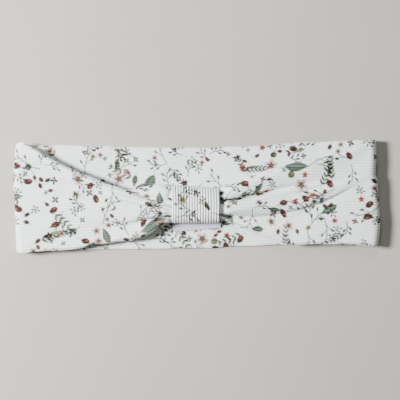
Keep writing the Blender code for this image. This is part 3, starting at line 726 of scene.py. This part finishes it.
print("cloth: making the pieces")
leftSplit = columnAt(leftX, -splitX, 0)
backLeftSplit = columnAt(backX, -splitX, backStart)
backMiddle = columnAt(backX, 0, backStart)
backRightSplit = columnAt(backX, splitX, backStart)
rightSplit = columnAt(rightX, cloth["cutX"], rightStart)
last = len(along) - 1
bandParts = {
    "band_left_wing": (0, leftSplit, "front_left", "knot", (-0.034, 0, 0), (-0.0175, 0, 0), "gathered",
                       ("front_left_wing", "front_left_seam", "gathered_end_left")),
    "band_left_turn": (leftSplit, backLeftSplit, "back_left", "front_left", (0, 0, 0.0032), (0, 0, 0.0076),
                       "folded", ("left_side_fold", "left_fold_seam")),
    "band_back_left": (backLeftSplit, backMiddle, "back_center", "back_left", (-0.0175, 0, 0),
                       (-0.045, 0, 0), "laid", ("back_left_panel", "back_left_seam")),
    "band_back_right": (backMiddle, backRightSplit, "back_center", "back_right", (0.0175, 0, 0),
                        (0.045, 0, 0), "laid", ("back_right_panel", "back_right_seam",
                                                "back_center_panel", "back_center_seam")),
    "band_right_turn": (backRightSplit, rightSplit, "back_right", "front_right_outer", (0, 0, 0.0032),
                        (0, 0, 0.0076), "folded", ("right_side_fold", "right_fold_seam",
                                                   "front_right_wing_outer", "front_right_seam")),
    "band_right_wing": (rightSplit, last, "knot", "front_right_inner", (0.0175, 0, 0), (0.034, 0, 0),
                        "gathered", ("front_right_wing_inner", "gathered_end_right")),
}
for name, (first, end, bodyA, bodyB, start, stop, held, stoodFor) in bandParts.items():
    piece = bandPiece(name, first, end)
    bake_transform(piece)
    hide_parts(*stoodFor)
    length = float(along[end] - along[first]) * mm

# The knot's loop: a narrow tube of the same knit, its ribs running round the gathers
knot = {
    "y": -6.4, "z": 10.5, "halfWide": 11.0, "halfHigh": 5.3,
    "left": -16.3, "right": 14.7, "thickness": 2.4, "ribs": 37, "pointsPerRib": 8,
    "step": 0.5, "gap": 1.3, "ribHeight": 0.68,
    "printHalf": 8,  # the print on it reaches this far up and down
    "printMargin": 3,
}


def knotLoop():
    count = knot["ribs"] * knot["pointsPerRib"]
    w = np.arange(count) / count
    wide = knot["right"] - knot["left"]
    ply = knot["thickness"] / 2
    # section: across in x, and n from the middle of the tube, thicker where its two rims roll
    outer = w < 0.5
    across = np.where(outer, 4 * w - 1, 3 - 4 * w)
    straight = wide / 2 - ply
    run = np.abs(across) * (straight + ply * math.pi / 2)
    turn = np.clip((run - straight) / ply, 0, math.pi / 2)
    x = np.sign(across) * (np.minimum(run, straight) + ply * np.sin(turn))
    x = (knot["left"] + knot["right"]) / 2 + x
    n = ply * np.cos(turn) * np.where(outer, 1, -1)
    # path: a stadium round the gathers, opened under them
    flatHalf = knot["halfWide"] - knot["halfHigh"]
    total = 4 * flatHalf + 2 * math.pi * knot["halfHigh"]
    s = np.linspace(knot["gap"] / 2, total - knot["gap"] / 2, round(total / knot["step"]))
    edges = np.cumsum([0, flatHalf, math.pi * knot["halfHigh"], 2 * flatHalf, math.pi * knot["halfHigh"]])
    radius = knot["halfHigh"]
    places = np.empty((len(s), count, 3))
    phase = 2 * math.pi * w * knot["ribs"]
    rib = np.abs(np.sin(phase / 2))
    ribTone = 1 + 0.16 * np.sin(np.floor(w * knot["ribs"]) * 2.4)  # ribs aren't all as full
    for row, at in zip(places, s):
        if at < edges[1]:
            y, z, ny, nz = -at, -radius, 0.0, -1.0
        elif at < edges[2]:
            angle = (at - edges[1]) / radius
            y, z = -flatHalf - radius * math.sin(angle), -radius * math.cos(angle)
            ny, nz = -math.sin(angle), -math.cos(angle)
        elif at < edges[3]:
            y, z, ny, nz = -flatHalf + (at - edges[2]), radius, 0.0, 1.0
        elif at < edges[4]:
            angle = (at - edges[3]) / radius
            y, z = flatHalf + radius * math.sin(angle), radius * math.cos(angle)
            ny, nz = math.sin(angle), math.cos(angle)
        else:
            y, z, ny, nz = flatHalf - (at - edges[4]), -radius, 0.0, -1.0
        smoothRim = smoothStep((across + 1) / 0.14)  # the left rim is rolled and has no ribs
        lift = knot["ribHeight"] * ribTone * (rib**0.75 - 0.6) * np.where(outer, smoothRim, 0.5)
        lift = lift + 0.35 * (1 - smoothRim) * outer
        off = n + np.sign(n + 1e-9) * lift + 0.15 * np.sin(0.45 * x + at * 0.3)
        lean = -0.065 * (x - knot["left"]) * np.clip(y / 8, 0, 1)  # the upper rim slopes to the right
        row[:, 0] = x + 0.2 * np.sin(at * 0.24 + 1.0) * np.abs(across)
        row[:, 1] = knot["y"] + y + ny * off + lean + 0.5
        row[:, 2] = knot["z"] + z + nz * off
    return places, s


print("knot: making the loop")
loopPlaces, loopRun = knotLoop()
loopInk = np.ones(loopPlaces.shape)
knotPrint = [("twig", 13, "olive"), ("twig", 12, "pine"), ("bud", 2, "burgundy"), ("blossom", 3, "blush"),
             ("cross", 2.5, "burgundy"), ("twig", 11, "olive"), ("twig", 9, "straw"), ("berries", 2, "straw"),
             ("twig", 10, "pine"), ("cross", 2, "brown"), ("bud", 1.8, "rust")]
loopCrest = np.abs(np.sin(math.pi * np.arange(loopPlaces.shape[1]) / knot["pointsPerRib"]))


# The same, but over the whole top of the loop, with x and y in place of a column and v
class LoopPatch(Patch):
    def __init__(self, x, y, angle):
        right = loopPlaces[:, :, 0] - x
        up = loopPlaces[:, :, 1] - y
        turn = math.radians(angle)
        self.a = right * math.cos(turn) + up * math.sin(turn)
        self.b = up * math.cos(turn) - right * math.sin(turn)
        self.top = (loopPlaces[:, :, 2] > knot["z"] + 2.0)

    def stain(self, cover, colour):
        share = (cover * self.top * (0.6 + 0.4 * loopCrest))[:, :, None]
        loopInk[:] = loopInk * (1 - share) + inks[colour] * share


# golden steps spread the motifs evenly
for k, (kind, size, colour) in enumerate(knotPrint):
    room = knot["right"] - knot["left"] - 2 * knot["printMargin"]
    x = knot["left"] + knot["printMargin"] + room * (k * 0.382 % 1)
    y = knot["y"] - knot["printHalf"] + 2 * knot["printHalf"] * (k * 0.236 % 1)
    motifs[kind](LoopPatch(x, y, 137.5 * k), size, colour)
loopGirth = 2 * (knot["right"] - knot["left"] - knot["thickness"]) + math.pi * knot["thickness"]
# the last colour is a darker painted shade in the grooves between the knot's ribs
loopKnit = ribKnit("cotton rib knit, knot", loopGirth / knot["ribs"], "#8b8986")
loop = clothPiece("knot_wrap", loopPlaces, loopInk, loopRun, loopGirth, True, True, loopKnit)
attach(loop, "knot")
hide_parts("knot_loop", "knot_loop_seam")

# The label: a blank satin ribbon sewn flat behind the knot, its lower edge lifting a little
label = {"left": -16.4, "right": 15.2, "top": -5.4, "lowLeft": -24.2, "lowRight": -22.2, "z": 3.2,
         "lift": 0.5, "thickness": 0.3, "columns": 64, "rows": 36}


def satinLabel():
    t = np.linspace(0, 1, label["columns"])[:, None]
    d = np.linspace(0, 1, label["rows"])[None, :]
    low = label["lowLeft"] + (label["lowRight"] - label["lowLeft"]) * t
    places = np.empty((label["columns"], label["rows"], 3))
    places[:, :, 0] = label["left"] + (label["right"] - label["left"]) * t + 0.3 * (1 - d)
    places[:, :, 1] = low + (label["top"] - low) * d
    ripple = 0.12 * np.sin(9 * t + 1) + 0.08 * np.sin(21 * t)
    places[:, :, 2] = label["z"] + (label["lift"] + ripple) * (1 - smoothStep(d / 0.55))
    width = label["right"] - label["left"]
    run = np.linspace(0, width, label["columns"])
    height = label["top"] - (label["lowLeft"] + label["lowRight"]) / 2
    piece = clothPiece("blank_label", places, np.ones(places.shape), run, height, False, False, ribbon)
    wall = piece.modifiers.new("ribbon thickness", "SOLIDIFY")
    wall.thickness = label["thickness"] * mm
    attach(piece, "back_center")
    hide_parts("label")
    return piece


print("label and threads")
satinLabel()
for node in ("label_thread_left", "label_thread_right", "ring_seam_thread", "loop_closing_thread"):
    stitches = bpy.data.objects[node]
    stitches.data.materials.clear()
    stitches.data.materials.append(thread)


# A painted table top: pale warm grey, matt, very faintly mottled
def paleFloor():
    material, tree, shader = newMaterial("pale painted board")
    place = addNode(tree, "ShaderNodeTexCoord")
    mottle = addNode(tree, "ShaderNodeTexNoise", {0: place.outputs[3], 2: 8.0, 3: 4.0})
    colour = addNode(tree, "ShaderNodeMix", {0: mottle.outputs[0], 6: (*linearColour("#a9a49b"), 1),
                                             7: (*linearColour("#b4afa7"), 1)}, data_type="RGBA")
    tree.links.new(colour.outputs[2], shader.inputs["Base Color"])
    shader.inputs["Roughness"].default_value = 0.9
    bm = bmesh.new()
    bmesh.ops.create_grid(bm, x_segments=1, y_segments=1, size=1.5)
    mesh = bpy.data.meshes.new("floor")
    bm.to_mesh(mesh)
    bm.free()
    mesh.materials.append(material)
    floor = bpy.data.objects.new("floor", mesh)
    bpy.context.collection.objects.link(floor)


paleFloor()


# Each light looks at the middle of the band
lights = {
    "key light": {"place": (-0.68, 0.09, 0.62), "size": 0.22, "watts": 29, "colour": "#ffffff"},
    "fill light": {"place": (-0.1, 0.7, 0.9), "size": 0.4, "watts": 4, "colour": "#eef6ff"},
}
room = {"colour": "#f7f0e6", "strength": 0.15}


def softLight(name, light):
    lamp = bpy.data.lights.new(name, "AREA")
    lamp.shape = "DISK"
    lamp.size = light["size"]
    lamp.energy = light["watts"]
    lamp.color = linearColour(light["colour"])
    obj = bpy.data.objects.new(name, lamp)
    obj.location = light["place"]
    obj.rotation_euler = Vector(-np.array(light["place"])).to_track_quat("-Z", "Y").to_euler()
    bpy.context.collection.objects.link(obj)


print("lights and camera")
for name, light in lights.items():
    softLight(name, light)
world = bpy.data.worlds.new("pale room")
world.use_nodes = True
world.node_tree.nodes["Background"].inputs[0].default_value = (*linearColour(room["colour"]), 1)
world.node_tree.nodes["Background"].inputs[1].default_value = room["strength"]
bpy.context.scene.world = world

camera = {"x": 1.9, "y": -3.5, "z": 10.0, "distance": 600.0, "across": 260.8, "sensor": 36.0, "turn": -0.9}
lens = bpy.data.cameras.new("camera")
lens.sensor_width = camera["sensor"]
lens.lens = camera["sensor"] * camera["distance"] / camera["across"]
lens.clip_start = 0.01
view = bpy.data.objects.new("camera", lens)
view.location = (camera["x"] * mm, camera["y"] * mm, (camera["z"] + camera["distance"]) * mm)
view.rotation_euler = (0, 0, math.radians(camera["turn"]))
bpy.context.collection.objects.link(view)
bpy.context.scene.camera = view
